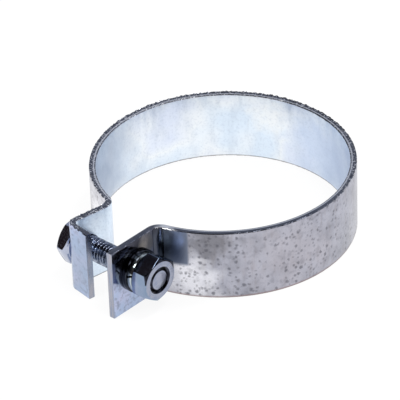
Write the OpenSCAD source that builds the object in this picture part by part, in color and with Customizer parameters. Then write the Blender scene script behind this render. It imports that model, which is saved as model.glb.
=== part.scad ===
// Exhaust clamp: a band folded from one steel strip, drawn tight on a pipe by a bolt and nut.
// Millimetres. The origin is the centre of the pipe bore, half way up the band.
// +Z is the axis of the pipe. The band is split toward -Y, where its two ears stand out.
// The bolt lies along X: its head bears on the ear at -X and the nut is run up at +X.

/* [Band] */
// Diameter of the pipe bore, inside the band
bore_d = 85.4; // [60:0.2:120]
// Thickness of the steel strip
strip_t = 2.3; // [1.5:0.1:3.2]
// Width of the strip, along the pipe
strip_w = 25; // [20:0.5:40]
// Bevel that shearing and tumbling leave on the long edges of the strip
edge_bevel = 0.3; // [0.1:0.05:0.6]

/* [Ears] */
// Clear gap between the ears at its narrowest, from bend to bend
gap_w = 18.4; // [12:0.2:26]
// How far the middle of the gap lies to the +X side of the bore's centre
gap_shift = -1.3; // [-3:0.1:3]
// Inside radius of the bend that turns the band out into each ear
ear_bend_r = 3; // [2:0.1:5]
// Length of the plain ear past the bolt's axis
plain_end = 11.7; // [9:0.1:16]
// Lean of the lipped ear away from the gap. At 9.01 its turn has no rounding error.
ear_lean = 9.01; // [0:0.01:12]
// Straight length of the lipped ear, from its bend to the bend of its lip
lipped_len = 11.4; // [10:0.1:16]

/* [Lip] */
// Inside radius of the lip's bend
lip_bend_r = 1.5; // [1:0.1:3]
// Angle that the lip is bent through, from its ear toward the plain one
lip_angle = 90; // [60:1:95]
// Straight length of the lip past its bend
lip_len = 7.5; // [4:0.1:8]

/* [Bolt] */
// Thread diameter of the bolt
bolt_d = 8; // [6:0.5:9]
// Room between the flat washer and the bend of the plain ear
bend_room = 0.05; // [0.05:0.05:6]
// Height of the bolt's axis above the middle of the strip
bolt_rise = 0.8; // [-2:0.1:2]
// How far the end of the bolt stays short of the nut's outer face
bolt_short = 0.2; // [-6:0.1:1.5]
// Bevel on the end of the bolt
tip_bevel = 0.7; // [0.4:0.1:1.2]
// Play between the bolt and the edge of its holes in the ears, each side
hole_play = 0.25; // [0.2:0.05:0.8]

/* [Head and nut] */
// Size across the flats of the bolt's head
head_af = 14; // [11:0.5:17]
// Height of the bolt's head, with its round bearing face
head_h = 5; // [4:0.1:7]
// Height of the round bearing face under the head
bearing_h = 0.5; // [0.2:0.1:1]
// Size across the flats of the nut
nut_af = 14; // [11:0.5:17]
// Height of the nut
nut_h = 6.2; // [5:0.1:8]
// Step of the round bearing face in from the head's flats
bearing_step = 0.6; // [0.3:0.1:1.5]
// Step of the round end faces of head and nut in from their flats, inside the corner bevels
face_step = 0.3; // [0.1:0.1:0.6]
// Angle of the corner bevels of head and nut, off their faces
corner_angle = 30; // [15:1:35]
// Play between the nut's thread crests and the bolt, each side
nut_play = 0.05; // [0.02:0.01:0.1]
// Widening of the nut's bore at each mouth, each side
nut_mouth = 0.6; // [0.3:0.1:1]
// Turn of the head about the bolt's axis
head_turn = 26; // [0:1:60]
// Turn of the nut about the bolt's axis
nut_turn = 55; // [0:1:60]

/* [Washers] */
// Outer diameter of the flat washer
washer_d = 15; // [13:0.5:18]
// Thickness of the flat washer
washer_t = 1.6; // [1:0.1:2.5]
// Play between the flat washer and the bolt, each side
washer_play = 0.2; // [0.1:0.05:0.5]
// Outer diameter of the spring washer
spring_d = 14.1; // [12:0.1:16]
// Thickness of the spring washer when drawn flat
spring_t = 2; // [1.4:0.1:2.6]
// Play between the spring washer and the bolt, each side
spring_play = 0.15; // [0.1:0.05:0.5]
// Width of the split in the spring washer
split_w = 0.7; // [0.4:0.1:1.5]
// Slant of the split, off the washer's axis
split_slant = 25; // [0:1:40]
// Place of the split around the bolt's axis
split_turn = 255; // [0:1:360]
// Bevel on the outer edges of both washers
washer_bevel = 0.25; // [0.1:0.05:0.4]

/* [Hidden] */
$fn = 96;

// Cutting tools reach this far past the faces that they cut
past = 1;
// Outlines that cut a ring into a bend have corners this far out
ray = 100;

// The band and its ears
bore_r = bore_d / 2;
band_r = bore_r + strip_t;
plain_x = gap_shift + gap_w / 2;
lipped_x = gap_shift - gap_w / 2;
nut_side_x = plain_x + strip_t;

// The centre of an ear's bend lies outside the band. This gives it on the +X side, for an ear
// whose gap face is at face_x: the bend touches the outside of the band and of the ear.
function ear_centre(face_x) = let(
    reach = band_r + ear_bend_r,
    x = face_x + strip_t + ear_bend_r
) [x, -sqrt(reach * reach - x * x)];

// The bolt's axis lies just far enough out for the flat washer to seat on the flat of the plain ear
bolt_y = ear_centre(plain_x)[1] - washer_d / 2 - bend_room;
bolt_z = bolt_rise;

// The head bears on the outside of the lip's bend, which the lean of its ear puts furthest out
lip_centre_x = -ear_centre(-lipped_x)[0] - lipped_len * sin(ear_lean)
    + (ear_bend_r + strip_t + lip_bend_r) * cos(ear_lean);
head_side_x = lip_centre_x - lip_bend_r - strip_t;

// Places along the bolt
washer_x = nut_side_x;
spring_x = washer_x + washer_t;
nut_x = spring_x + spring_t;
bolt_len = nut_x + nut_h - bolt_short - head_side_x;

// Hexagons are drawn by their corners
function corner_d(af) = af / cos(30);

// Puts something at p in two steps, a coarse one and the rest, so that touching faces meet exactly
module place(p) {
    coarse = [round(p[0]), round(p[1]), 0];
    translate(coarse)
        translate([p[0], p[1], 0] - coarse)
            children();
}

// Section of the strip: its thickness along X from x, its width centred along Y
module strip_section(x) {
    far = x + strip_t;
    half = strip_w / 2;
    b = edge_bevel;
    polygon([
        [x + b, -half], [far - b, -half], [far, b - half], [far, half - b],
        [far - b, half], [x + b, half], [x, half - b], [x, b - half]
    ]);
}

// A bend of the strip about the Z axis, with r as its inside radius: the part of a ring inside an outline
module bend(r, outline) {
    intersection() {
        rotate_extrude($fn = 240)
            strip_section(r);
        linear_extrude(strip_w + 2 * past, center = true)
            polygon(outline);
    }
}

// A straight stretch of the strip toward -Y, its thickness on the +X side of the origin
module leg(length) {
    rotate([90, 0, 0])
        linear_extrude(length)
            strip_section(0);
}

// Puts something drawn along Z on the bolt's axis, from x toward the nut's end
module on_bolt(x) {
    translate([x, bolt_y, bolt_z])
        rotate([0, 90, 0])
            children();
}

// A hexagon bar with its corners bevelled at both ends
module hex_bar(af, h, turn) {
    corner_r = corner_d(af) / 2;
    face_r = af / 2 - face_step;
    drop = (corner_r - face_r) * tan(corner_angle);
    intersection() {
        rotate([0, 0, turn])
            cylinder(r = corner_r, h = h, $fn = 6);
        rotate_extrude()
            polygon([[0, 0], [face_r, 0], [corner_r, drop], [corner_r, h - drop], [face_r, h], [0, h]]);
    }
}

// A flat ring with bevelled outer edges
module ring(outer_d, inner_d, t, bevel) {
    r = outer_d / 2;
    rotate_extrude()
        polygon([
            [inner_d / 2, 0], [r - bevel, 0], [r, bevel],
            [r, t - bevel], [r - bevel, t], [inner_d / 2, t]
        ]);
}

// The side of an ear's bend toward the gap, on the +X side, seen from the centre of the bend.
// Its first edge runs from the centre of the bend to the centre of the band.
module gap_side(face_x) {
    centre = ear_centre(face_x);
    place(centre)
        linear_extrude(strip_w + 2 * past, center = true)
            polygon([[0, 0], -centre, [-centre[0] - past, -ray], [0, -ray]]);
}

// The band: a ring of the strip, open between the two ear bends
module band() {
    difference() {
        rotate_extrude($fn = 240)
            strip_section(bore_r);
        gap_side(plain_x);
        mirror([1, 0, 0])
            gap_side(-lipped_x);
    }
}

// An ear on the +X side with its bend out of the band, its gap face at face_x where it leaves the bend,
// its straight length, and its lean away from the gap. Children follow on from the end of the gap face.
module ear(face_x, length, lean) {
    centre = ear_centre(face_x);
    place(centre) {
        bend(ear_bend_r, [[0, 0], -centre, [-ray, -centre[1]], -ray * [cos(lean), sin(lean)]]);
        rotate([0, 0, lean])
            translate([-ear_bend_r - strip_t, 0, 0]) {
                leg(length);
                translate([0, -length, 0])
                    children();
            }
    }
}

// The lip, bent from the end of an ear toward -X
module lip() {
    translate([-lip_bend_r, 0, 0]) {
        bend(lip_bend_r, [[0, 0], ray * [cos(lip_angle), -sin(lip_angle)], [ray, -ray], [ray, 0]]);
        rotate([0, 0, -lip_angle])
            translate([lip_bend_r, 0, 0])
                leg(lip_len);
    }
}

// The whole strip, folded
module folded_strip() {
    band();
    ear(plain_x, ear_centre(plain_x)[1] - bolt_y + plain_end, 0);
    mirror([1, 0, 0])
        ear(-lipped_x, lipped_len, ear_lean)
            lip();
}

// The band and ears in one piece, with a round hole for the bolt through each ear
module clamp_strap() {
    hole_d = bolt_d + 2 * hole_play;
    color([0.74, 0.76, 0.80])
        difference() {
            folded_strip();
            on_bolt(plain_x - past)
                cylinder(d = hole_d, h = strip_t + 2 * past);
            // This hole's edge runs into the lip's bend, so its cutter goes past the whole bend
            on_bolt(head_side_x - past)
                cylinder(d = hole_d, h = lipped_x - head_side_x + past);
        }
}

// The bolt: hexagon head with a round bearing face, and a shank drawn at the thread's full diameter
module hex_bolt() {
    body = bolt_len - tip_bevel;
    color([0.66, 0.69, 0.74])
        on_bolt(head_side_x) {
            translate([0, 0, -head_h])
                hex_bar(head_af, head_h - bearing_h, head_turn);
            translate([0, 0, -bearing_h])
                cylinder(d = head_af - 2 * bearing_step, h = bearing_h);
            cylinder(d = bolt_d, h = body);
            translate([0, 0, body])
                cylinder(d1 = bolt_d, d2 = bolt_d - 2 * tip_bevel, h = tip_bevel);
        }
}

// The flat washer, against the plain ear
module flat_washer() {
    color([0.60, 0.63, 0.68])
        on_bolt(washer_x)
            ring(washer_d, bolt_d + 2 * washer_play, washer_t, washer_bevel);
}

// The spring washer, drawn flat, with its slanting split
module spring_washer() {
    color([0.70, 0.73, 0.76])
        on_bolt(spring_x)
            difference() {
                ring(spring_d, bolt_d + 2 * spring_play, spring_t, washer_bevel);
                rotate([0, 0, split_turn])
                    translate([spring_d / 2, 0, spring_t / 2])
                        rotate([split_slant, 0, 0])
                            cube([spring_d, split_w, 3 * spring_t], center = true);
            }
}

// The cutter that widens a bore of radius r toward +Z, from nut_mouth below the origin
module mouth(r) {
    translate([0, 0, -nut_mouth])
        cylinder(r1 = r, r2 = r + 2 * nut_mouth, h = 2 * nut_mouth);
}

// The nut, bevelled at both ends, with a widened mouth at each end of its bore
module hex_nut() {
    hole_r = bolt_d / 2 + nut_play;
    color([0.68, 0.71, 0.76])
        on_bolt(nut_x)
            difference() {
                hex_bar(nut_af, nut_h, nut_turn);
                translate([0, 0, -past])
                    cylinder(r = hole_r, h = nut_h + 2 * past);
                translate([0, 0, nut_h])
                    mouth(hole_r);
                mirror([0, 0, 1])
                    mouth(hole_r);
            }
}

clamp_strap();
hex_bolt();
flat_washer();
spring_washer();
hex_nut();
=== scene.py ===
"""Looks of a band clamp for an exhaust pipe: a folded, zinc plated strip and its fasteners."""

import logging
import math
from dataclasses import dataclass
from enum import Enum
from typing import Sequence

import bpy
from mathutils import Matrix, Vector, noise


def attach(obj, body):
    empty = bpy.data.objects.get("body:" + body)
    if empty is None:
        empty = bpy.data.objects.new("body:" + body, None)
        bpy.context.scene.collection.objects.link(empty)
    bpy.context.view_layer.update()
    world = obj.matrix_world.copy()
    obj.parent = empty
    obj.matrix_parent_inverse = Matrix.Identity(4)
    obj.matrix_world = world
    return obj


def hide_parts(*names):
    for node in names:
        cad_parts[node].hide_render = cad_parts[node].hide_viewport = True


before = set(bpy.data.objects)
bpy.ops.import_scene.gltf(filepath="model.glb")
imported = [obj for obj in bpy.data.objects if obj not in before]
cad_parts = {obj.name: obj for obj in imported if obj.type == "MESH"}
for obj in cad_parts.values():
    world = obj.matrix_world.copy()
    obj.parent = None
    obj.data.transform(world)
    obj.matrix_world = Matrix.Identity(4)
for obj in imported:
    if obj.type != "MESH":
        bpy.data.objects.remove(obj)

LOG = logging.getLogger("clamp")
MM = 0.001
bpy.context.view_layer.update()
Outputs = bpy.types.bpy_prop_collection
Socket = bpy.types.NodeSocket
Object = bpy.types.Object
Material = bpy.types.Material


@dataclass(frozen=True)
class BoltAxis:
    """The line along X that the bolt, washers and nut share, in millimetres."""

    y: float = -53.699
    z: float = 0.8

    def point(self, x: float) -> Vector:
        """Gives the point of the axis at x millimetres, in metres."""
        return Vector((x, self.y, self.z)) * MM


AXIS = BoltAxis()


class Side(Enum):
    """The faces of the folded strip, by the number of their material slot."""

    BORE = 0
    OUTSIDE = 1
    RIM = 2
    END = 3
    EAR = 4
    BEND = 5


def linear(colour: str) -> tuple[float, float, float, float]:
    """Turns an sRGB hex colour to the linear one that a shader takes.

    Args:
        colour: Six hex digits after a hash sign.

    Returns:
        Red, green, blue and a full alpha.
    """
    parts = [int(colour[i : i + 2], 16) / 255 for i in (1, 3, 5)]
    low = [c / 12.92 if c <= 0.04045 else ((c + 0.055) / 1.055) ** 2.4 for c in parts]
    return (*low, 1.0)


def add_node(tree: bpy.types.NodeTree, kind: str, settings: dict, links: dict) -> Outputs:
    """Adds one node with its settings and links.

    Args:
        tree: The node tree that gets the node.
        kind: The node's type, without the ShaderNode that it starts with.
        settings: Attributes by name, input values by input name or number, and a colour ramp's
            stops, each a place and a hex colour, under "stops".
        links: Output sockets by the name or number of the input that they feed.

    Returns:
        The new node's outputs.
    """
    node = tree.nodes.new("ShaderNode" + kind)
    for key, value in settings.items():
        if key == "stops":
            points = node.color_ramp.elements
            while len(points) < len(value):
                points.new(1.0)
            for point, (place, colour) in zip(points, value):
                point.position, point.color = place, linear(colour)
        elif isinstance(key, str) and key in node.bl_rna.properties:
            setattr(node, key, value)
        else:
            node.inputs[key].default_value = value
    for key, socket in links.items():
        tree.links.new(socket, node.inputs[key])
    return node.outputs


def new_material(name: str) -> tuple[Material, bpy.types.NodeTree]:
    """Makes an empty node material.

    Args:
        name: The material's name.

    Returns:
        The material and its emptied node tree.
    """
    material = bpy.data.materials.new(name)
    material.use_nodes = True
    material.node_tree.nodes.clear()
    return material, material.node_tree


@dataclass(frozen=True)
class StainAndPaintedLight:
    """One cloudy patch of another colour at a place on a piece, in millimetres; some are
    discolouring, and others are painted shade, reflections and highlights.
    """

    centre: tuple[float, float, float]
    radius: float
    colour: str
    most: float
    ragged: float = 0.8


@dataclass
class Plating:
    """The node tree of one plated metal, with the patterns that its surface is made of."""

    name: str

    def __post_init__(self) -> None:
        """Makes the material and its object coordinates, in metres."""
        self.material, self.tree = new_material(self.name)
        self.place = self.add("TexCoord", {}, {})["Object"]

    def add(self, kind: str, settings: dict, links: dict) -> Outputs:
        """Adds one node to the tree and gives its outputs."""
        return add_node(self.tree, kind, settings, links)

    def grain(self, size_mm: float, detail: float = 2.0, stretch: tuple = (1, 1, 1)) -> Socket:
        """Adds a noise whose features are about a given size.

        Args:
            size_mm: Width of one patch of the noise.
            detail: Octaves of finer noise on it.
            stretch: Factors that shrink the pattern along X, Y and Z.

        Returns:
            The noise value, about 0.3 to 0.7.
        """
        mapped = self.add("Mapping", {"Scale": stretch}, {"Vector": self.place})[0]
        settings = {"Scale": 1 / (size_mm * MM), "Detail": detail}
        return self.add("TexNoise", settings, {"Vector": mapped})[0]

    def spread(self, pattern: Socket, reach: tuple, strength: tuple) -> Socket:
        """Turns a pattern's values to the strength of what it marks.

        Args:
            pattern: The pattern.
            reach: Its values where the mark starts and where it is full.
            strength: The strengths there.

        Returns:
            The strength.
        """
        names = ("From Min", "From Max", "To Min", "To Max")
        limits = dict(zip(names, (*reach, *strength)))
        return self.add("MapRange", limits, {"Value": pattern})[0]

    def stain_and_light(self, stain_and_light: StainAndPaintedLight) -> Socket:
        """Gives the strength of one such patch, with a ragged edge."""
        reach = stain_and_light.radius * MM
        settings = {"operation": "DISTANCE", 1: tuple(c * MM for c in stain_and_light.centre)}
        away = self.add("VectorMath", settings, {0: self.place})["Value"]
        shift = reach * stain_and_light.ragged
        settings = {"operation": "MULTIPLY_ADD", 1: -2 * shift, 2: shift}
        ragged = self.add("Math", settings, {0: self.grain(stain_and_light.radius * 0.4, 3.0)})[0]
        edge = self.add("Math", {"operation": "ADD"}, {0: away, 1: ragged})[0]
        return self.spread(edge, (reach * 0.3, reach), (stain_and_light.most, 0.0))

    def dots(self, size_mm: float, spare: Socket) -> Socket:
        """Gives the strength of soft round dots of mixed sizes.

        Args:
            size_mm: Space from one dot to the next.
            spare: What every dot's radius gains, as a share of that space.

        Returns:
            The strength.
        """
        cells = self.add("TexVoronoi", {"Scale": 1 / (size_mm * MM)}, {"Vector": self.place})
        chance = self.add("SeparateColor", {}, {0: cells["Color"]})[0]
        radius = self.add("Math", {"operation": "MULTIPLY_ADD", 1: 0.45}, {0: chance, 2: spare})[0]
        links = {0: self.grain(size_mm * 0.6, 3.0), 2: cells["Distance"]}
        ragged = self.add("Math", {"operation": "MULTIPLY_ADD", 1: 0.9}, links)[0]
        edge = self.add("Math", {"operation": "SUBTRACT"}, {0: ragged, 1: radius})[0]
        return self.spread(edge, (0.27, 0.68), (1.0, 0.0))

    def low_edge(self, top_mm: float, most: float) -> Socket:
        """Gives the strength of a darker tint along the strip's lower edge, up to a height."""
        # It is full up to where the edge's bevel ends
        full_mm = -12.2
        height = self.add("SeparateXYZ", {}, {"Vector": self.place})[2]
        return self.spread(height, (full_mm * MM, top_mm * MM), (most, 0.0))

    def with_stains_and_light(self, colour: Socket, stains_and_light: Sequence[StainAndPaintedLight]) -> Socket:
        """Lays such patches over a colour, one after another."""
        for stain_and_light in stains_and_light:
            colour = self.over(colour, stain_and_light.colour, self.stain_and_light(stain_and_light))
        return colour

    def over(self, under: Socket, colour: str, strength: Socket) -> Socket:
        """Lays a hex colour over another colour by a strength of 0 to 1."""
        settings = {"data_type": "RGBA", 7: linear(colour)}
        return self.add("Mix", settings, {0: strength, 6: under})[2]

    def clouds(self, pattern: Socket, stops: Sequence[tuple]) -> Socket:
        """Gives the colour of each value of a pattern, from its stops."""
        return self.add("ValToRGB", {"stops": stops}, {"Fac": pattern})[0]

    def metal(self, colour: Socket, roughness: Socket, height: Socket, depth_mm: float) -> Material:
        """Ends the tree with a metal's shader.

        Args:
            colour: Base colour.
            roughness: Roughness.
            height: Height for the bump, about 0 to 1.
            depth_mm: Depth that a height of 1 stands for.

        Returns:
            The material.
        """
        settings = {"Strength": 1.0, "Distance": depth_mm * MM}
        bump = self.add("Bump", settings, {"Height": height})[0]
        links = {"Base Color": colour, "Roughness": roughness, "Normal": bump}
        shader = self.add("BsdfPrincipled", {"Metallic": 1.0}, links)[0]
        self.add("OutputMaterial", {}, {"Surface": shader})
        return self.material


@dataclass(frozen=True)
class BrightZinc:
    """Blue passivated zinc on a smooth piece: a clouded mirror with fine handling marks."""

    name: str
    colour: str
    cloud: str
    smooth: float
    rough: float
    spotted: float = 0.1
    stains_and_light: tuple[StainAndPaintedLight, ...] = ()
    spot: str = "#6E7686"
    cloud_mm: float = 6.0
    spot_mm: float = 1.5
    # Handling marks are finer than a pixel, so they are drawn this wide
    mark_mm: float = 0.7
    mark_depth_mm: float = 0.003

    def make(self) -> Material:
        """Builds the material."""
        coat = Plating(self.name)
        stops = [(0.38, self.colour), (0.62, self.cloud)]
        colour = coat.clouds(coat.grain(self.cloud_mm, 3.0), stops)
        spots = coat.spread(coat.grain(self.spot_mm, 4.0), (0.5, 0.7), (0.0, self.spotted))
        colour = coat.with_stains_and_light(coat.over(colour, self.spot, spots), self.stains_and_light)
        marks = coat.grain(self.mark_mm)
        roughness = coat.spread(marks, (0.35, 0.65), (self.smooth, self.rough))
        return coat.metal(colour, roughness, marks, self.mark_depth_mm)


@dataclass(frozen=True)
class TurnedZinc:
    """Zinc over a face cut on a lathe: greyer than the forged flats, with fine rings."""

    name: str
    colour: str
    cloud: str
    cloud_mm: float = 1.6
    ring_mm: float = 0.45
    ring_depth_mm: float = 0.004

    def make(self) -> Material:
        """Builds the material."""
        coat = Plating(self.name)
        stops = [(0.36, self.colour), (0.64, self.cloud)]
        colour = coat.clouds(coat.grain(self.cloud_mm, 3.0), stops)
        # Flattened along X, shells round a point become rings about the bolt's axis
        settings = {"Location": -AXIS.point(0.0), "Scale": (0.0, 1.0, 1.0)}
        centred = coat.add("Mapping", settings, {"Vector": coat.place})[0]
        settings = {
            "wave_type": "RINGS",
            "rings_direction": "SPHERICAL",
            # A wave of scale 1 runs through 20 radians in one unit
            "Scale": math.tau / 20 / (self.ring_mm * MM),
            "Distortion": 1.5,
            "Detail": 1.0,
        }
        rings = coat.add("TexWave", settings, {"Vector": centred})[1]
        roughness = coat.spread(rings, (0.0, 1.0), (0.2, 0.3))
        return coat.metal(colour, roughness, rings, self.ring_depth_mm)


@dataclass(frozen=True)
class OiledThreadAndPaintedShade:
    """Zinc in a cut thread, dark with oil and cutting dirt, and bright where light strikes it; the
    same finish also stands for painted shade.
    """

    name: str
    colour: str
    dark: str
    dirt_mm: float = 1.6
    dirt_depth_mm: float = 0.002

    def make(self) -> Material:
        """Builds the material."""
        coat = Plating(self.name)
        dirt = coat.grain(self.dirt_mm)
        colour = coat.clouds(dirt, [(0.4, self.dark), (0.6, self.colour)])
        roughness = coat.spread(dirt, (0.35, 0.65), (0.14, 0.2))
        return coat.metal(colour, roughness, dirt, self.dirt_depth_mm)


@dataclass(frozen=True)
class SatinZinc:
    """Zinc on the strip's bore side: pale and satin, with soft clouds and faint specks."""

    name: str
    pale: str
    blue: str
    lilac: str
    streak: str
    dirt: str
    stains_and_light: tuple[StainAndPaintedLight, ...]
    cloud_mm: float = 24.0
    # The plating ran down the strip as it drained, in streaks of this width
    streak_mm: float = 3.2
    # Its crystals are finer than a pixel, so their specks are drawn this wide
    speck_mm: float = 0.8
    speck_depth_mm: float = 0.012

    def make(self) -> Material:
        """Builds the material."""
        coat = Plating(self.name)
        stops = [(0.36, self.blue), (0.5, self.pale), (0.64, self.lilac)]
        colour = coat.clouds(coat.grain(self.cloud_mm), stops)
        streaks = coat.grain(self.streak_mm, 3.0, (1.0, 1.0, 0.3))
        colour = coat.over(colour, self.streak, coat.spread(streaks, (0.46, 0.7), (0.0, 0.2)))
        colour = coat.with_stains_and_light(colour, self.stains_and_light)
        specks = coat.grain(self.speck_mm, 3.0)
        colour = coat.over(colour, self.streak, coat.spread(specks, (0.5, 0.7), (0.0, 0.22)))
        # Darker and browner towards the bottom edge
        colour = coat.over(colour, self.dirt, coat.low_edge(-11.8, 0.9))
        roughness = coat.spread(specks, (0.3, 0.7), (0.28, 0.4))
        return coat.metal(colour, roughness, specks, self.speck_depth_mm)


@dataclass(frozen=True)
class MottledZinc:
    """Zinc on the outside of the band: scuffed and pitted, grey partly of its own and partly as
    painted shade, and smooth next to the nut, where a dark reflection is painted.
    """

    name: str
    pale: str
    grey: str
    brown: str
    pit: str
    mirror: str
    dirt: str
    worn: tuple[StainAndPaintedLight, ...]
    stains_and_light: tuple[StainAndPaintedLight, ...]
    cloud_mm: float = 7.0
    streak_mm: float = 1.6
    flock_mm: float = 9.0
    pit_mm: float = 1.5
    smudge_mm: float = 2.4
    pit_depth_mm: float = 0.01

    def smooth_painted_reflection(self, coat: Plating) -> Socket:
        """Gives 1 on the smooth stretch between the plain ear and the dull patch, which gets a
        painted dark reflection, else 0.
        """
        axes = coat.add("SeparateXYZ", {}, {"Vector": coat.place})
        share = coat.spread(axes[0], (0.0, 0.001), (0.0, 1.0))
        beside = coat.spread(axes[1], (-0.0404, -0.04), (1.0, 0.0))
        upper = coat.spread(axes[2], (-0.001, 0.0002), (0.0, 1.0))
        for part in (beside, upper):
            share = coat.add("Math", {"operation": "MULTIPLY"}, {0: share, 1: part})[0]
        return share

    def make(self) -> Material:
        """Builds the material."""
        coat = Plating(self.name)
        stops = [(0.36, self.grey), (0.64, self.pale)]
        colour = coat.clouds(coat.grain(self.cloud_mm, 4.0), stops)
        streaks = coat.grain(self.streak_mm, 3.0, (1.0, 1.0, 0.22))
        colour = coat.over(colour, self.brown, coat.spread(streaks, (0.5, 0.72), (0.0, 0.35)))
        colour = coat.with_stains_and_light(colour, self.stains_and_light)
        # Small pits come in flocks, densest in the worn patches, with smudges round them
        dense = coat.spread(coat.grain(self.flock_mm), (0.35, 0.65), (-0.2, -0.02))
        for worn in self.worn:
            here = coat.stain_and_light(worn)
            colour = coat.over(colour, worn.colour, here)
            dense = coat.add("Math", {"operation": "MULTIPLY_ADD", 1: 0.14}, {0: here, 2: dense})[0]
        pits = coat.dots(self.pit_mm, dense)
        smudges = coat.spread(coat.grain(self.smudge_mm, 4.0), (0.52, 0.7), (0.0, 0.4))
        marks = coat.add("Math", {"operation": "MAXIMUM"}, {0: pits, 1: smudges})[0]
        # The smooth stretch gets a painted dark reflection, without pits
        mirror = self.smooth_painted_reflection(coat)
        rest = coat.add("Math", {"operation": "SUBTRACT", 0: 1.0}, {1: mirror})[0]
        shown = coat.add("Math", {"operation": "MULTIPLY"}, {0: marks, 1: rest})[0]
        colour = coat.over(colour, self.pit, coat.spread(shown, (0.0, 1.0), (0.0, 0.7)))
        colour = coat.over(colour, self.mirror, mirror)
        # Darker and browner towards the bottom edge
        colour = coat.over(colour, self.dirt, coat.low_edge(-11.5, 0.7))
        roughness = coat.spread(rest, (0.0, 1.0), (0.4, 0.26))
        return coat.metal(colour, roughness, shown, -self.pit_depth_mm)


@dataclass(frozen=True)
class ShearedZinc:
    """Zinc over the sheared rim of the strip: torn slate grey, with bright crests."""

    name: str
    slate: str
    dark: str
    broken: str
    crest: str
    stains_and_light: tuple[StainAndPaintedLight, ...]
    cloud_mm: float = 3.0
    tear_mm: float = 0.6
    tear_depth_mm: float = 0.035

    def across(self, coat: Plating, colour: Socket) -> Socket:
        """Lays the bands that shearing leaves across the rim over its colour.

        Args:
            coat: The coat.
            colour: Its colour.

        Returns:
            The colour with the bands.
        """
        settings = {"operation": "MULTIPLY", 1: (1.0, 1.0, 0.0)}
        level = coat.add("VectorMath", settings, {0: coat.place})[0]
        reach = coat.add("VectorMath", {"operation": "LENGTH"}, {0: level})["Value"]
        # Outside it broke through, next to that a pale line is burnished, and its edge is dark
        bands = (
            (self.broken, (0.0435, 0.0437), (0.0, 0.75)),
            (self.crest, (0.0435, 0.0437), (0.8, 0.0)),
            (self.broken, (0.0431, 0.0432), (0.9, 0.0)),
        )
        for band, radii, strength in bands:
            colour = coat.over(colour, band, coat.spread(reach, radii, strength))
        return colour

    def torn(self, coat: Plating) -> Socket:
        """Gives the tear marks, which fade out at the plain ear and along its side."""
        axes = coat.add("SeparateXYZ", {}, {"Vector": coat.place})
        back = coat.spread(axes[1], (-0.008, 0.012), (0.3, 1.0))
        left = coat.spread(axes[0], (-0.01, -0.002), (1.0, 0.3))
        where = coat.add("Math", {"operation": "MAXIMUM"}, {0: back, 1: left})[0]
        tears = coat.grain(self.tear_mm, 1.0)
        return coat.add("Math", {"operation": "MULTIPLY"}, {0: tears, 1: where})[0]

    def make(self) -> Material:
        """Builds the material."""
        coat = Plating(self.name)
        stops = [(0.4, self.dark), (0.6, self.slate)]
        colour = self.across(coat, coat.clouds(coat.grain(self.cloud_mm, 3.0), stops))
        colour = coat.with_stains_and_light(colour, self.stains_and_light)
        torn = self.torn(coat)
        colour = coat.over(colour, self.crest, coat.spread(torn, (0.57, 0.67), (0.0, 1.0)))
        roughness = coat.spread(torn, (0.2, 0.6), (0.2, 0.38))
        return coat.metal(colour, roughness, torn, self.tear_depth_mm)


@dataclass(frozen=True)
class CroppedZinc:
    """Zinc over the cropped ends of the strip: smooth grey, with faint lines along the cut."""

    name: str
    colour: str
    cloud: str
    line_mm: float = 0.8
    line_depth_mm: float = 0.01

    def make(self) -> Material:
        """Builds the material."""
        coat = Plating(self.name)
        lines = coat.grain(self.line_mm, 2.0, (1.0, 1.0, 0.12))
        colour = coat.clouds(lines, [(0.36, self.colour), (0.64, self.cloud)])
        roughness = coat.spread(lines, (0.3, 0.7), (0.2, 0.32))
        return coat.metal(colour, roughness, lines, self.line_depth_mm)


# Satin zinc on the strip's bore side, with painted reflection: darker towards both ends and across
# the back, and a painted highlight
BORE_ZINC = SatinZinc(
    "bore_side_zinc_and_painted_reflection",
    "#F6FBFF",
    "#E4F1FE",
    "#E6EEFD",
    "#B4C0D2",
    # Colour that the bottom edge darkens towards
    "#6F6664",
    (
        # Painted reflection: darker towards both ends and across the back
        StainAndPaintedLight((-35.0, -24.5, 0.0), 33.0, "#9CACC4", 0.9, 0.4),
        StainAndPaintedLight((8.0, 42.0, -3.0), 22.0, "#CEDCF2", 0.9, 0.5),
        StainAndPaintedLight((26.0, 34.0, -4.0), 25.0, "#B0C0DA", 0.9, 0.4),
        # Painted highlight
        StainAndPaintedLight((-15.0, 40.0, 4.0), 8.0, "#FDFFFE", 0.6),
    ),
)
# Scuffed and pitted zinc on the band's outside, partly greyed as painted shade, with a painted dark
# reflection beside the plain ear's bend
OUTSIDE_ZINC = MottledZinc(
    "outside_zinc_and_painted_reflection",
    "#B2B3BF",
    "#9FA0AB",
    "#8E8686",
    "#54555E",
    # Painted dark reflection for the smooth stretch
    "#747C8E",
    # Colour that the bottom edge darkens towards
    "#8C6F66",
    (
        StainAndPaintedLight((27.0, -37.0, 9.0), 11.0, "#6E6D72", 0.7),
        StainAndPaintedLight((21.0, -40.0, -7.0), 12.0, "#F6F6FC", 0.75),
    ),
    (
        StainAndPaintedLight((42.0, -14.0, 0.0), 20.0, "#B8B4BC", 0.5),
        StainAndPaintedLight((-20.0, -43.0, 0.0), 17.0, "#FCFCFF", 0.95, 0.3),
    ),
)
# Zinc over the torn, burred edges of the strip, with a painted highlight on the rim at the plain
# ear's bend
RIM_ZINC = ShearedZinc(
    "sheared_rim_zinc_and_painted_highlight",
    "#A2A7B4",
    "#7E8390",
    "#50535E",
    "#F6F7FA",
    # Painted highlight on the rim's top at the plain ear's bend
    (StainAndPaintedLight((13.0, -43.2, 12.4), 4.0, "#FFFFFF", 1.0, 0.2),),
)
# Zinc over the cut ends of the strip
END_ZINC = CroppedZinc("cropped_end_zinc", "#949CAE", "#ACABB4")
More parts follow.
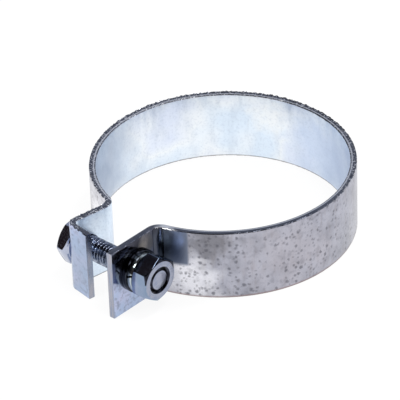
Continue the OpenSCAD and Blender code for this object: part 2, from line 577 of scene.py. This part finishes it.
# Bright zinc on the ears, with painted shade round the washers and a painted reflection over the
# plain ear's upper part
EAR_ZINC_AND_PAINTED_SHADE = BrightZinc(
    "ear_zinc_and_painted_shade",
    "#ACBCDA",
    "#BDC2DE",
    0.1,
    0.18,
    0.6,
    (
        StainAndPaintedLight((-8.0, -62.0, 0.0), 16.0, "#98A6BC", 0.6),
        # Painted reflection: the plain ear's upper part drawn dark
        StainAndPaintedLight((10.2, -58.0, 12.0), 17.0, "#3C3A42", 0.95, 0.15),
        # Painted shade round the washers
        StainAndPaintedLight((10.2, -52.0, 7.0), 7.0, "#1E1F26", 0.9, 0.15),
        # Painted reflection: a lighter brownish patch toward the bend
        StainAndPaintedLight((10.2, -47.5, 8.5), 6.0, "#97928C", 0.85, 0.2),
    ),
)
# Painted shade: the hollow of the plain ear's bend drawn dark
BEND_PAINTED_SHADE = BrightZinc("bend_painted_shade_zinc", "#4C505C", "#3C3E48", 0.18, 0.26)
# Bright zinc on the forged head and nut
BOLT_ZINC = BrightZinc("bolt_bright_zinc", "#AAB1C4", "#BAC0D2", 0.1, 0.2)
NUT_ZINC = BrightZinc("nut_bright_zinc", "#8294AC", "#929EB6", 0.1, 0.18)
# Zinc on the turned end faces of nut and bolt
FACE_ZINC = TurnedZinc("turned_face_zinc", "#8E96AC", "#A0A4B4")
# Oiled zinc in the thread, and painted shade in the nut's mouth, on its upper bevels and in the
# groove round the bolt's tip
THREAD_ZINC = OiledThreadAndPaintedShade("oiled_thread_zinc", "#A8AEBE", "#626A7A")
GROOVE_PAINTED_SHADE = OiledThreadAndPaintedShade("groove_painted_shade_zinc", "#3A3D49", "#1C1D24")
# Near-black zinc on the flat washer, and bright zinc on the spring washer
WASHER_ZINC = BrightZinc("washer_dark_zinc", "#2A2C34", "#3C404A", 0.08, 0.16)
SPRING_ZINC = BrightZinc("spring_washer_zinc", "#A8B4B6", "#BAC4C8", 0.12, 0.2)
Finish = BrightZinc | TurnedZinc | OiledThreadAndPaintedShade | SatinZinc | MottledZinc | ShearedZinc | CroppedZinc


def pick(obj: Object) -> None:
    """Makes an object the only selected one, and the active one."""
    bpy.ops.object.select_all(action="DESELECT")
    obj.select_set(True)
    bpy.context.view_layer.objects.active = obj


def edit(obj: Object) -> None:
    """Picks an object and opens it in edit mode, with nothing in it selected."""
    pick(obj)
    bpy.ops.object.mode_set(mode="EDIT")
    bpy.ops.mesh.select_all(action="DESELECT")


def settle(obj: Object, name: str) -> Object:
    """Puts an object's place in its mesh and names it.

    Args:
        obj: The object.
        name: Its name.

    Returns:
        The object.
    """
    pick(obj)
    bpy.ops.object.transform_apply(location=True, rotation=True, scale=True)
    obj.name = name
    obj.data.name = name
    return obj


def face_outwards(obj: Object) -> None:
    """Merges an object's doubled vertices and turns its faces outwards."""
    edit(obj)
    bpy.ops.mesh.select_all(action="SELECT")
    bpy.ops.mesh.remove_doubles(threshold=1e-7)
    bpy.ops.mesh.normals_make_consistent(inside=False)
    bpy.ops.object.mode_set(mode="OBJECT")


def apply_modifier(obj: Object, kind: str, **settings: object) -> None:
    """Adds a modifier and applies it at once.

    Args:
        obj: The object.
        kind: The modifier's type.
        settings: The modifier's attributes by name.
    """
    pick(obj)
    modifier = obj.modifiers.new(kind.lower(), kind)
    for key, value in settings.items():
        setattr(modifier, key, value)
    bpy.ops.object.modifier_apply(modifier=modifier.name)


def carve(obj: Object, tool: Object, operation: str) -> None:
    """Cuts an object with a tool object by a boolean operation, and throws the tool away."""
    apply_modifier(obj, "BOOLEAN", object=tool, operation=operation, solver="EXACT")
    bpy.data.objects.remove(tool, do_unlink=True)


def smooth(obj: Object, angle: float) -> None:
    """Shades an object smooth, with edges sharper than an angle in degrees kept sharp."""
    pick(obj)
    bpy.ops.object.shade_smooth_by_angle(angle=math.radians(angle))


def round_edges(obj: Object, width: float, angle: float) -> None:
    """Rounds the edges that are sharper than an angle.

    Args:
        obj: The object.
        width: Width of the rounding, in millimetres.
        angle: The angle, in degrees.
    """
    limit = math.radians(angle)
    settings = {"segments": 2, "limit_method": "ANGLE", "angle_limit": limit}
    apply_modifier(obj, "BEVEL", width=width * MM, **settings)


def plate(obj: Object, finishes: Sequence[Finish]) -> None:
    """Gives an object one material slot for each of its finishes."""
    for finish in finishes:
        obj.data.materials.append(finish.make())


def turned(rings: Sequence[tuple], corners: int, hollow: bool, turn: float = 0.0) -> Object:
    """Builds a turned solid about the bolt's axis, ring by ring.

    Args:
        rings: Place along X and radius of each ring, in millimetres.
        corners: Corners of each ring.
        hollow: Whether the last ring is joined to the first, rather than both capped.
        turn: Turn of the corners about the axis in degrees, from +Y towards +Z.

    Returns:
        The new object, with its faces outwards.
    """
    bpy.ops.object.select_all(action="DESELECT")
    first_x, first_r = rings[0]
    bpy.ops.mesh.primitive_circle_add(
        vertices=corners,
        radius=1.0,
        fill_type="NOTHING",
        location=AXIS.point(first_x),
        rotation=(0.0, math.pi / 2, 0.0),
    )
    obj = bpy.context.object
    bpy.ops.object.transform_apply(location=True, rotation=True, scale=True)
    centre = AXIS.point(first_x)
    for number, vertex in enumerate(obj.data.vertices):
        angle = math.radians(turn) + math.tau * number / corners
        vertex.co = centre + Vector((0.0, math.cos(angle), math.sin(angle))) * first_r * MM
    bpy.ops.object.mode_set(mode="EDIT")
    bpy.ops.mesh.select_all(action="SELECT")
    last_x, last_r = first_x, first_r
    for x, r in rings[1:]:
        step = ((x - last_x) * MM, 0.0, 0.0)
        bpy.ops.mesh.extrude_region_move(TRANSFORM_OT_translate={"value": step})
        if r != last_r:
            factor = r / last_r
            bpy.ops.transform.resize(value=(1.0, factor, factor), center_override=AXIS.point(x))
        last_x, last_r = x, r
    if hollow:
        bpy.ops.mesh.select_all(action="DESELECT")
        bpy.ops.mesh.select_mode(type="EDGE")
        bpy.ops.mesh.select_non_manifold()
        bpy.ops.mesh.bridge_edge_loops()
    else:
        bpy.ops.mesh.select_mode(type="EDGE")
        bpy.ops.mesh.edge_face_add()
        bpy.ops.mesh.select_all(action="DESELECT")
        bpy.ops.mesh.select_non_manifold()
        bpy.ops.mesh.edge_face_add()
    bpy.ops.mesh.select_mode(type="VERT")
    bpy.ops.object.mode_set(mode="OBJECT")
    face_outwards(obj)
    return obj


@dataclass
class FoldedStrap:
    """The band and its ears: one strip, swept from the end of the plain ear to that of the lip.

    Sizes are in millimetres. All but the rims' are those of the solid.
    """

    bore_r: float = 42.7
    thickness: float = 2.3
    width: float = 25.0
    corner: float = 0.32
    plain_x: float = 7.9
    lipped_x: float = -10.5
    ear_bend_r: float = 3.0
    plain_end_y: float = -65.399
    ear_lean: float = 9.01
    lipped_len: float = 11.4
    lip_bend_r: float = 1.5
    lip_angle: float = 90.0
    lip_len: float = 7.5
    hole_r: float = 4.25
    # How far the rims are sunk: all over, and by a coarse and a fine noise
    sunk: float = 0.07
    sunk_coarse: float = 0.10
    sunk_fine: float = 0.07
    burr: float = 0.4
    step: float = 0.45
    hole_corners: int = 64

    def bend_centre(self, face_x: float) -> Vector:
        """Gives the centre of an ear's bend.

        Args:
            face_x: Place of the ear's gap face.

        Returns:
            The centre, in millimetres.
        """
        out = 1.0 if face_x > 0 else -1.0
        x = face_x + out * (self.thickness + self.ear_bend_r)
        reach = self.bore_r + self.thickness + self.ear_bend_r
        return Vector((x, -math.sqrt(reach * reach - x * x), 0.0))

    def leaning(self) -> tuple[Vector, Vector]:
        """Gives the directions of the lipped ear: out along it, and from it to the gap."""
        lean = math.radians(self.ear_lean)
        along = Vector((-math.sin(lean), -math.cos(lean), 0.0))
        return along, Vector((-along.y, along.x, 0.0))

    def lip_centre(self) -> Vector:
        """Gives the centre of the lip's bend, in millimetres."""
        along, gapward = self.leaning()
        reach = self.ear_bend_r + self.thickness + self.lip_bend_r
        return self.bend_centre(self.lipped_x) + along * self.lipped_len + gapward * reach

    def section(self) -> Object:
        """Adds the strip's rounded section at the end of the plain ear, open in edit mode."""
        bpy.ops.object.select_all(action="DESELECT")
        middle = self.plain_x + self.thickness / 2
        bpy.ops.mesh.primitive_plane_add(
            size=1.0,
            location=Vector((middle, self.plain_end_y, 0.0)) * MM,
            rotation=(math.pi / 2, 0.0, 0.0),
        )
        obj = bpy.context.object
        obj.scale = (self.thickness * MM, self.width * MM, 1.0)
        bpy.ops.object.transform_apply(location=True, rotation=True, scale=True)
        bpy.ops.object.mode_set(mode="EDIT")
        bpy.ops.mesh.select_all(action="SELECT")
        bpy.ops.mesh.bevel(offset=self.corner * MM, segments=3, affect="VERTICES")
        bpy.ops.mesh.select_all(action="SELECT")
        return obj

    def straight(self, length: float, direction: Vector) -> None:
        """Draws the selected end face out along a line.

        Args:
            length: How far, in millimetres.
            direction: Which way, of length 1.
        """
        steps = max(1, round(length / self.step))
        stride = tuple(direction * (length / steps) * MM)
        for _ in range(steps):
            bpy.ops.mesh.extrude_region_move(TRANSFORM_OT_translate={"value": stride})

    def round_bend(self, centre: Vector, angle: float, radius: float) -> None:
        """Spins the selected end face about an upright axis.

        Args:
            centre: Place of the axis, in millimetres.
            angle: Turn in degrees, counted from +X towards +Y.
            radius: Radius that sets how many steps are taken, in millimetres.
        """
        arc = abs(math.radians(angle)) * radius
        steps = max(12, round(arc / self.step))
        # The operator counts its angle the other way round
        bpy.ops.mesh.spin(
            steps=steps,
            angle=-math.radians(angle),
            center=tuple(centre * MM),
            axis=(0.0, 0.0, 1.0),
            use_auto_merge=False,
        )

    def sweep(self) -> Object:
        """Sweeps the section along the whole strip.

        Returns:
            The strip, with its faces outwards.
        """
        obj = self.section()
        right, left = self.bend_centre(self.plain_x), self.bend_centre(self.lipped_x)
        right_turn = math.degrees(math.atan2(-right.y, right.x))
        left_turn = math.degrees(math.atan2(-left.y, -left.x))
        along, _ = self.leaning()
        lip_turn = math.radians(self.lip_angle)
        self.straight(right.y - self.plain_end_y, Vector((0.0, 1.0, 0.0)))
        self.round_bend(right, -right_turn, self.ear_bend_r)
        self.round_bend(Vector(), 180.0 + right_turn + left_turn, self.bore_r)
        self.round_bend(left, -left_turn - self.ear_lean, self.ear_bend_r)
        self.straight(self.lipped_len, along)
        self.round_bend(self.lip_centre(), self.lip_angle, self.lip_bend_r)
        self.straight(self.lip_len, Matrix.Rotation(lip_turn, 3, "Z") @ along)
        bpy.ops.object.mode_set(mode="OBJECT")
        face_outwards(obj)
        return obj

    def lip_arm(self, level: Vector) -> tuple[float, float]:
        """Gives a point's way from the lip's bend centre, along the ear and toward the gap."""
        arm = level - self.lip_centre()
        return tuple(arm.dot(direction) for direction in self.leaning())

    def depth(self, level: Vector) -> tuple[float, Side]:
        """Says where in the strip's thickness a point is.

        Args:
            level: The point, in millimetres, moved to the middle of the strip's width.

        Returns:
            How far it is from the strip's bore side, and the side that is opposite there.
        """
        beyond, gapward_of = self.lip_arm(level)
        if level.x < 0 and beyond > 0:
            reach = math.hypot(beyond, gapward_of) if gapward_of < 0 else beyond
            return reach - self.lip_bend_r, Side.EAR
        along, gapward = self.leaning()
        ears = (
            (self.plain_x, Vector((0.0, -1.0, 0.0)), Vector((-1.0, 0.0, 0.0))),
            (self.lipped_x, along, gapward),
        )
        bend_depth = self.ear_bend_r + self.thickness
        for face_x, out, inward in ears:
            centre = self.bend_centre(face_x)
            arm = level - centre
            if level.x * face_x > 0 and arm.dot(out) > 0:
                return bend_depth - arm.dot(inward), Side.EAR
            turn = (centre.x * level.y - centre.y * level.x) * -math.copysign(1.0, face_x)
            if turn > 0 and arm.length < bend_depth + 0.5:
                return bend_depth - arm.length, Side.BEND if face_x > 0 else Side.OUTSIDE
        return level.length - self.bore_r, Side.OUTSIDE

    def side_of(self, place: Vector, normal: Vector) -> Side:
        """Says which face of the strip a point of its surface is on.

        Args:
            place: The point, in millimetres.
            normal: The outward normal there.

        Returns:
            The side.
        """
        if abs(normal.z) > 0.5:
            return Side.RIM
        level = Vector((place.x, place.y, 0.0))
        beyond, gapward_of = self.lip_arm(level)
        # The lip's end face is met near its length, and nothing else lies in that stretch
        at_lip_end = beyond > 0 and self.lip_len + 1.0 > gapward_of > self.lip_len - 0.05
        if place.y < self.plain_end_y + 0.05 or at_lip_end:
            return Side.END
        depth, opposite = self.depth(level)
        return Side.BORE if depth < self.thickness / 2 else opposite

    def tear_rims(self, obj: Object) -> None:
        """Moves the rims by a fixed noise, as shearing leaves them, with a burr outside."""
        bevel = self.corner * 1.05
        for vertex in obj.data.vertices:
            place = vertex.co / MM
            if abs(place.z) < self.width / 2 - bevel:
                continue
            # It is torn round the back and on the lipped ear's side, and smooth at the plain ear
            torn = min(1.0, max(0.1, (place.y + 8.0) / 20.0, (-2.0 - place.x) / 8.0))
            level = Vector((place.x, place.y, 0.0))
            coarse = noise.noise(Vector((place.x, place.y, place.z * 3.0)) * 0.9)
            fine = noise.noise(level * 1.7 + Vector((9.0, 4.0, 2.0)))
            sunk = torn * (self.sunk + self.sunk_coarse * coarse + self.sunk_fine * fine)
            into, _ = self.depth(level)
            if place.z > 0 and into > self.thickness - bevel:
                # The burr stands highest where the rim goes over into the outside
                off = abs(into - self.thickness + self.corner * 0.5)
                share = 1.0 - off / (self.corner * 0.6)
                spike = noise.noise(level * 1.2 + Vector((3.0, 7.0, 0.0)))
                height = min(1.0, max(0.0, 2.0 * spike + 0.3))
                sunk = -torn * max(0.0, share) * height * self.burr
            vertex.co.z -= sunk * math.copysign(1.0, place.z) * MM

    def build(self) -> Object:
        """Builds the strip, with its holes and torn rims, and gives its faces their sides.

        Returns:
            The finished strip.
        """
        obj = self.sweep()
        self.tear_rims(obj)
        lip_x = self.lip_centre().x - self.lip_bend_r - self.thickness
        plain_drill = (self.plain_x - 1.0, self.plain_x + self.thickness + 1.0)
        for start, end in (plain_drill, (lip_x - 1.0, self.lipped_x)):
            drill = turned([(start, self.hole_r), (end, self.hole_r)], self.hole_corners, False)
            carve(obj, drill, "DIFFERENCE")
        plate(obj, (BORE_ZINC, OUTSIDE_ZINC, RIM_ZINC, END_ZINC, EAR_ZINC_AND_PAINTED_SHADE, BEND_PAINTED_SHADE))
        for face in obj.data.polygons:
            face.material_index = self.side_of(face.center / MM, face.normal).value
        smooth(obj, 35.0)
        return settle(obj, "folded_strip")


# Corners of the rings that stand for circles, and the slope of a hexagon's end bevels in degrees
ROUND_CORNERS = 96
BEVEL_SLOPE = 30.0


def hexagon_bar(
    start: float, end: float, across_flats: float, turn: float, bevel: float = 0.3
) -> Object:
    """Builds a hexagon bar with both ends bevelled round its corners, in millimetres and degrees.

    Args:
        start: Place of its first end along X.
        end: Place of its other end.
        across_flats: Its size across the flats.
        turn: Turn of a corner from +Y towards +Z.
        bevel: How far the bevels reach in from the flats.

    Returns:
        The bar.
    """
    corner = across_flats / math.sqrt(3.0)
    face = across_flats / 2 - bevel
    reach = corner + 0.2
    drop = (reach - face) * math.tan(math.radians(BEVEL_SLOPE))
    bar = turned([(start - 0.5, corner), (end + 0.5, corner)], 6, False, turn)
    rounds = [(start, face), (start + drop, reach), (end - drop, reach), (end, face)]
    carve(bar, turned(rounds, ROUND_CORNERS, False), "INTERSECT")
    return bar


@dataclass
class ThreadedBolt:
    """The bolt: a hexagon head with a round bearing face and a threaded shank, in millimetres."""

    head_start: float = -19.664
    seat: float = -14.664
    bearing_h: float = 0.5
    bearing_r: float = 6.4
    head_af: float = 14.0
    head_turn: float = -4.0
    bevel: float = 0.65
    end: float = 19.8
    radius: float = 4.0
    pitch: float = 1.25
    tip_bevel: float = 0.7
    # How far the shank runs into the head
    root: float = 0.4
    # Of the thread's pitch: its depth, half its crest's flat, and one flank
    thread_depth: float = 0.6134
    half_crest: float = 1 / 16
    flank: float = 5 / 16
    around: int = 64
    per_turn: int = 20

    def head(self) -> Object:
        """Builds the head, with its bearing face."""
        inner = self.seat - self.bearing_h
        bar = hexagon_bar(self.head_start, inner, self.head_af, self.head_turn, self.bevel)
        disc = [(inner - 0.3, self.bearing_r), (self.seat, self.bearing_r)]
        carve(bar, turned(disc, ROUND_CORNERS, False), "UNION")
        round_edges(bar, 0.2, 24)
        plate(bar, (BOLT_ZINC,))
        smooth(bar, 30.0)
        return settle(bar, "bolt_head")

    def thread_radius(self, x: float, angle: float) -> float:
        """Gives the radius of the threaded surface.

        Args:
            x: Place along the bolt.
            angle: Angle about the axis in radians, from +Y towards +Z.

        Returns:
            The radius, in millimetres.
        """
        depth = self.thread_depth * self.pitch
        phase = (x / self.pitch - angle / math.tau) % 1.0
        from_crest = min(phase, 1.0 - phase)
        cut = min(1.0, max(0.0, (from_crest - self.half_crest) / self.flank))
        radius = self.radius - depth * cut
        tip = self.radius - self.tip_bevel + (self.end - x)
        return min(radius, tip)

    def shank(self) -> Object:
        """Builds the threaded shank."""
        start = self.seat - self.root
        obj = turned([(start, self.radius), (self.end, self.radius)], self.around, False)
        edit(obj)
        bpy.ops.mesh.select_mode(type="EDGE")
        bpy.ops.object.mode_set(mode="OBJECT")
        length = self.end - self.seat + self.root
        for edge in obj.data.edges:
            ends = [obj.data.vertices[i].co.x for i in edge.vertices]
            edge.select = abs(ends[0] - ends[1]) > length * 0.5 * MM
        bpy.ops.object.mode_set(mode="EDIT")
        cuts = round(length / self.pitch * self.per_turn) - 1
        bpy.ops.mesh.subdivide_edgering(number_cuts=cuts, interpolation="LINEAR")
        bpy.ops.mesh.select_mode(type="VERT")
        bpy.ops.object.mode_set(mode="OBJECT")
        for vertex in obj.data.vertices:
            centre = AXIS.point(vertex.co.x / MM)
            arm = vertex.co - centre
            angle = math.atan2(arm.z, arm.y)
            arm.normalize()
            vertex.co = centre + arm * self.thread_radius(vertex.co.x / MM, angle) * MM
        plate(obj, (THREAD_ZINC, FACE_ZINC, GROOVE_PAINTED_SHADE))
        for face in obj.data.polygons:
            if face.normal.x > 0.99:
                face.material_index = 1
            # Painted shade round the bolt's bevelled tip
            elif face.center.x > (self.end - self.tip_bevel * 1.2) * MM:
                face.material_index = 2
        smooth(obj, 50.0)
        return settle(obj, "bolt_shank")


@dataclass
class HexNut:
    """The nut, bevelled at both ends, with a widened mouth at each, in millimetres."""

    start: float = 13.8
    end: float = 20.0
    across_flats: float = 14.0
    turn: float = 25.0
    bore_r: float = 4.05
    mouth: float = 0.6

    def build(self) -> Object:
        """Builds the nut."""
        nut = hexagon_bar(self.start, self.end, self.across_flats, self.turn)
        past = 0.8
        wide = self.bore_r + self.mouth + past
        bore = [
            (self.start - past, wide),
            (self.start + self.mouth, self.bore_r),
            (self.end - self.mouth, self.bore_r),
            (self.end + past, wide),
        ]
        carve(nut, turned(bore, ROUND_CORNERS, False), "DIFFERENCE")
        round_edges(nut, 0.14, 24)
        plate(nut, (NUT_ZINC, FACE_ZINC, GROOVE_PAINTED_SHADE))
        for face in nut.data.polygons:
            arm = face.center - AXIS.point(face.center.x / MM)
            in_mouth = arm.length < (self.bore_r + self.mouth + 0.1) * MM
            upper_bevel = abs(face.normal.x) > 0.3 and arm.z > self.across_flats * 0.1 * MM
            if abs(face.normal.x) > 0.99:
                face.material_index = 1
            elif in_mouth or upper_bevel:
                # Painted shade: the mouth, and the bevels above the axis only
                face.material_index = 2
        smooth(nut, 30.0)
        return settle(nut, "nut_body")


@dataclass
class Washer:
    """A washer with rounded edges, whole or split, in millimetres."""

    name: str
    start: float
    thickness: float
    outer_r: float
    inner_r: float
    edge: float
    finish: BrightZinc
    split_w: float = 0.0
    split_turn: float = 0.0
    split_slant: float = 0.0
    corners: int = 128

    def build(self) -> Object:
        """Builds the washer."""
        x, end, r, edge = self.start, self.start + self.thickness, self.outer_r, self.edge
        near = 0.3 * edge
        half = [(0.0, self.inner_r), (0.0, r - edge), (near, r - near), (edge, r)]
        rings = [(x + inset, radius) for inset, radius in half]
        rings += [(end - inset, radius) for inset, radius in reversed(half)]
        obj = turned(rings, self.corners, True)
        if self.split_w:
            self.cut_split(obj)
        plate(obj, (self.finish,))
        smooth(obj, 40.0)
        return settle(obj, self.name)

    def cut_split(self, obj: Object) -> None:
        """Cuts the slanting split through the ring."""
        bpy.ops.object.select_all(action="DESELECT")
        bpy.ops.mesh.primitive_cube_add(size=1.0)
        tool = bpy.context.object
        turn = math.radians(self.split_turn)
        # The blade's own axes: out from the bolt's axis, round it, and along it
        out = Vector((0.0, math.cos(turn), math.sin(turn)))
        along = Vector((1.0, 0.0, 0.0))
        blade = Matrix.Rotation(math.radians(self.split_slant), 3, out)
        around = blade @ along.cross(out)
        along = blade @ along
        centre = AXIS.point(self.start + self.thickness / 2) + out * self.outer_r * MM
        sides = (out * self.outer_r * 2, around * self.split_w, along * self.thickness * 3)
        tool.data.transform(Matrix.Translation(centre) @ (Matrix(sides).transposed() * MM).to_4x4())
        tool.data.update()
        face_outwards(tool)
        carve(obj, tool, "DIFFERENCE")
        round_edges(obj, 0.1, 50)


@dataclass
class Studio:
    """The floor, lamps, dark tent and camera round the clamp, in metres."""

    floor_z: float = -0.0125
    floor_size: float = 12.0
    # Shares of the floor's own light that the camera and the mirrors see
    seen_share: float = 0.9
    mirrored_share: float = 0.8
    tent_r: float = 3.0
    tent_front: str = "#2C2426"
    tent_back: str = "#B0B5C2"
    # The camera was fitted to the photograph's outlines
    lens_mm: float = 286.06
    eye: tuple[float, float, float] = (0.60946, -0.66541, 0.57939)
    gaze: tuple[float, float, float] = (-0.5730, 0.6144, -0.5423)
    level: tuple[float, float, float] = (0.7444, 0.6671, -0.0307)

    def floor(self) -> None:
        """Lays a white floor that keeps a faint shadow."""
        bpy.ops.object.select_all(action="DESELECT")
        place = (0.0, 0.0, self.floor_z)
        bpy.ops.mesh.primitive_plane_add(size=self.floor_size, location=place)
        floor = bpy.context.object
        floor.name = "studio_floor"
        material, tree = new_material("studio_paper")
        rays = add_node(tree, "LightPath", {}, {})
        mirrors = {0: rays["Is Transmission Ray"], 1: rays["Is Glossy Ray"]}
        mirrored = add_node(tree, "Math", {"operation": "MAXIMUM"}, mirrors)[0]
        settings = {"operation": "MULTIPLY", 1: self.mirrored_share}
        mirrored = add_node(tree, "Math", settings, {0: mirrored})[0]
        settings = {"operation": "MULTIPLY_ADD", 1: self.seen_share}
        seen = {0: rays["Is Camera Ray"], 2: mirrored}
        share = add_node(tree, "Math", settings, seen)[0]
        paper = add_node(tree, "BsdfDiffuse", {"Color": linear("#F4F4F6")}, {})[0]
        white = {"Color": linear("#FFFFFF"), "Strength": 1.0}
        glow = add_node(tree, "Emission", white, {})[0]
        mix = add_node(tree, "MixShader", {}, {0: share, 1: paper, 2: glow})[0]
        add_node(tree, "OutputMaterial", {}, {"Surface": mix})
        floor.data.materials.append(material)

    def tent(self) -> None:
        """Hangs a dark tent over the floor that only the metal's reflections see."""
        bpy.ops.object.select_all(action="DESELECT")
        bpy.ops.mesh.primitive_uv_sphere_add(segments=64, ring_count=32, radius=self.tent_r)
        tent = bpy.context.object
        tent.name = "dark_tent"
        edit(tent)
        bpy.ops.object.mode_set(mode="OBJECT")
        for vertex in tent.data.vertices:
            vertex.select = vertex.co.z < self.tent_r * 0.08
        bpy.ops.object.mode_set(mode="EDIT")
        bpy.ops.mesh.delete(type="VERT")
        bpy.ops.object.mode_set(mode="OBJECT")
        material, tree = new_material("tent_cloth")
        # Behind the clamp the cloth is slate grey, and it darkens to brown toward the front
        place = add_node(tree, "TexCoord", {}, {})["Object"]
        depth = add_node(tree, "SeparateXYZ", {}, {"Vector": place})[1]
        limits = {"From Min": self.tent_r * 0.1, "From Max": self.tent_r * 0.5}
        share = add_node(tree, "MapRange", limits, {"Value": depth})[0]
        settings = {"data_type": "RGBA", 6: linear(self.tent_front), 7: linear(self.tent_back)}
        cloth = add_node(tree, "Mix", settings, {0: share})[2]
        glow = add_node(tree, "Emission", {"Strength": 1.0}, {"Color": cloth})[0]
        add_node(tree, "OutputMaterial", {}, {"Surface": glow})
        tent.data.materials.append(material)
        for rays in ("camera", "diffuse", "shadow", "transmission"):
            setattr(tent, f"visible_{rays}", False)

    def lamp(self, name: str, place: Vector, size: tuple[float, float], power: float) -> None:
        """Adds one soft box that faces the clamp.

        Args:
            name: The lamp's name.
            place: Where it hangs, from the clamp.
            size: Its width and height.
            power: Its power in watts.
        """
        data = bpy.data.lights.new(name, "AREA")
        data.shape = "RECTANGLE"
        data.size, data.size_y = size
        data.energy = power
        lamp = bpy.data.objects.new(name, data)
        lamp.location = place
        lamp.rotation_euler = (-place).to_track_quat("-Z", "Y").to_euler()
        bpy.context.scene.collection.objects.link(lamp)

    def lamps(self) -> None:
        """Hangs the soft boxes."""
        self.lamp("right_box", Vector((0.42, 0.0, 1.2)), (0.4, 0.24), 5.0)
        self.lamp("back_box", Vector((0.34, 0.61, 1.2)), (0.3, 0.3), 5.0)
        self.lamp("left_box", Vector((-0.25, -0.8, 1.0)), (0.3, 0.3), 4.0)

    def world(self) -> None:
        """Sets a plain white world."""
        world = bpy.data.worlds.new("studio")
        bpy.context.scene.world = world
        world.use_nodes = True
        tree = world.node_tree
        tree.nodes.clear()
        white = {"Color": linear("#FFFFFF"), "Strength": 1.0}
        light = add_node(tree, "Background", white, {})[0]
        add_node(tree, "OutputWorld", {}, {"Surface": light})

    def camera(self) -> None:
        """Sets up the camera where the photograph was taken from."""
        data = bpy.data.cameras.new("camera")
        data.sensor_width = 36.0
        data.lens = self.lens_mm
        data.clip_start, data.clip_end = 0.05, 30.0
        camera = bpy.data.objects.new("camera", data)
        forward = Vector(self.gaze).normalized()
        right = Vector(self.level)
        right = (right - forward * right.dot(forward)).normalized()
        up = right.cross(forward)
        turn = Matrix((right, up, -forward)).transposed().to_4x4()
        camera.matrix_world = Matrix.Translation(self.eye) @ turn
        bpy.context.scene.collection.objects.link(camera)
        bpy.context.scene.camera = camera

    def build(self) -> None:
        """Sets up the whole studio."""
        self.floor()
        self.tent()
        self.lamps()
        self.world()
        self.camera()
        bpy.context.scene.view_settings.view_transform = "Standard"


FLAT_WASHER = Washer("flat_washer_ring", 10.2, 1.6, 7.5, 4.2, 0.25, WASHER_ZINC)
SPRING_WASHER = Washer(
    "spring_washer_ring", 11.8, 2.0, 7.05, 4.15, 0.3, SPRING_ZINC, 0.7, 165.0, 25.0
)


def dress(piece: Object, body: str, node: str) -> None:
    """Gives a finished piece its body, and hides the node that it stands for.

    Args:
        piece: The piece.
        body: The body that it rides on.
        node: The node that it replaces.
    """
    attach(piece, body)
    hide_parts(node)
    faces = sum(len(face.vertices) - 2 for face in piece.data.polygons)
    LOG.info("%s: %d triangles, on %s, for %s", piece.name, faces, body, node)


def main() -> None:
    """Builds the clamp's looks in order."""
    logging.basicConfig(level=logging.INFO, format="%(message)s")
    Studio().build()
    dress(FoldedStrap().build(), "strap", "clamp_strap")
    bolt = ThreadedBolt()
    dress(bolt.head(), "bolt", "hex_bolt")
    dress(bolt.shank(), "bolt", "hex_bolt")
    dress(FLAT_WASHER.build(), "flat_washer", "flat_washer")
    dress(SPRING_WASHER.build(), "spring_washer", "spring_washer")
    dress(HexNut().build(), "nut", "hex_nut")


if __name__ == "__main__":
    main()
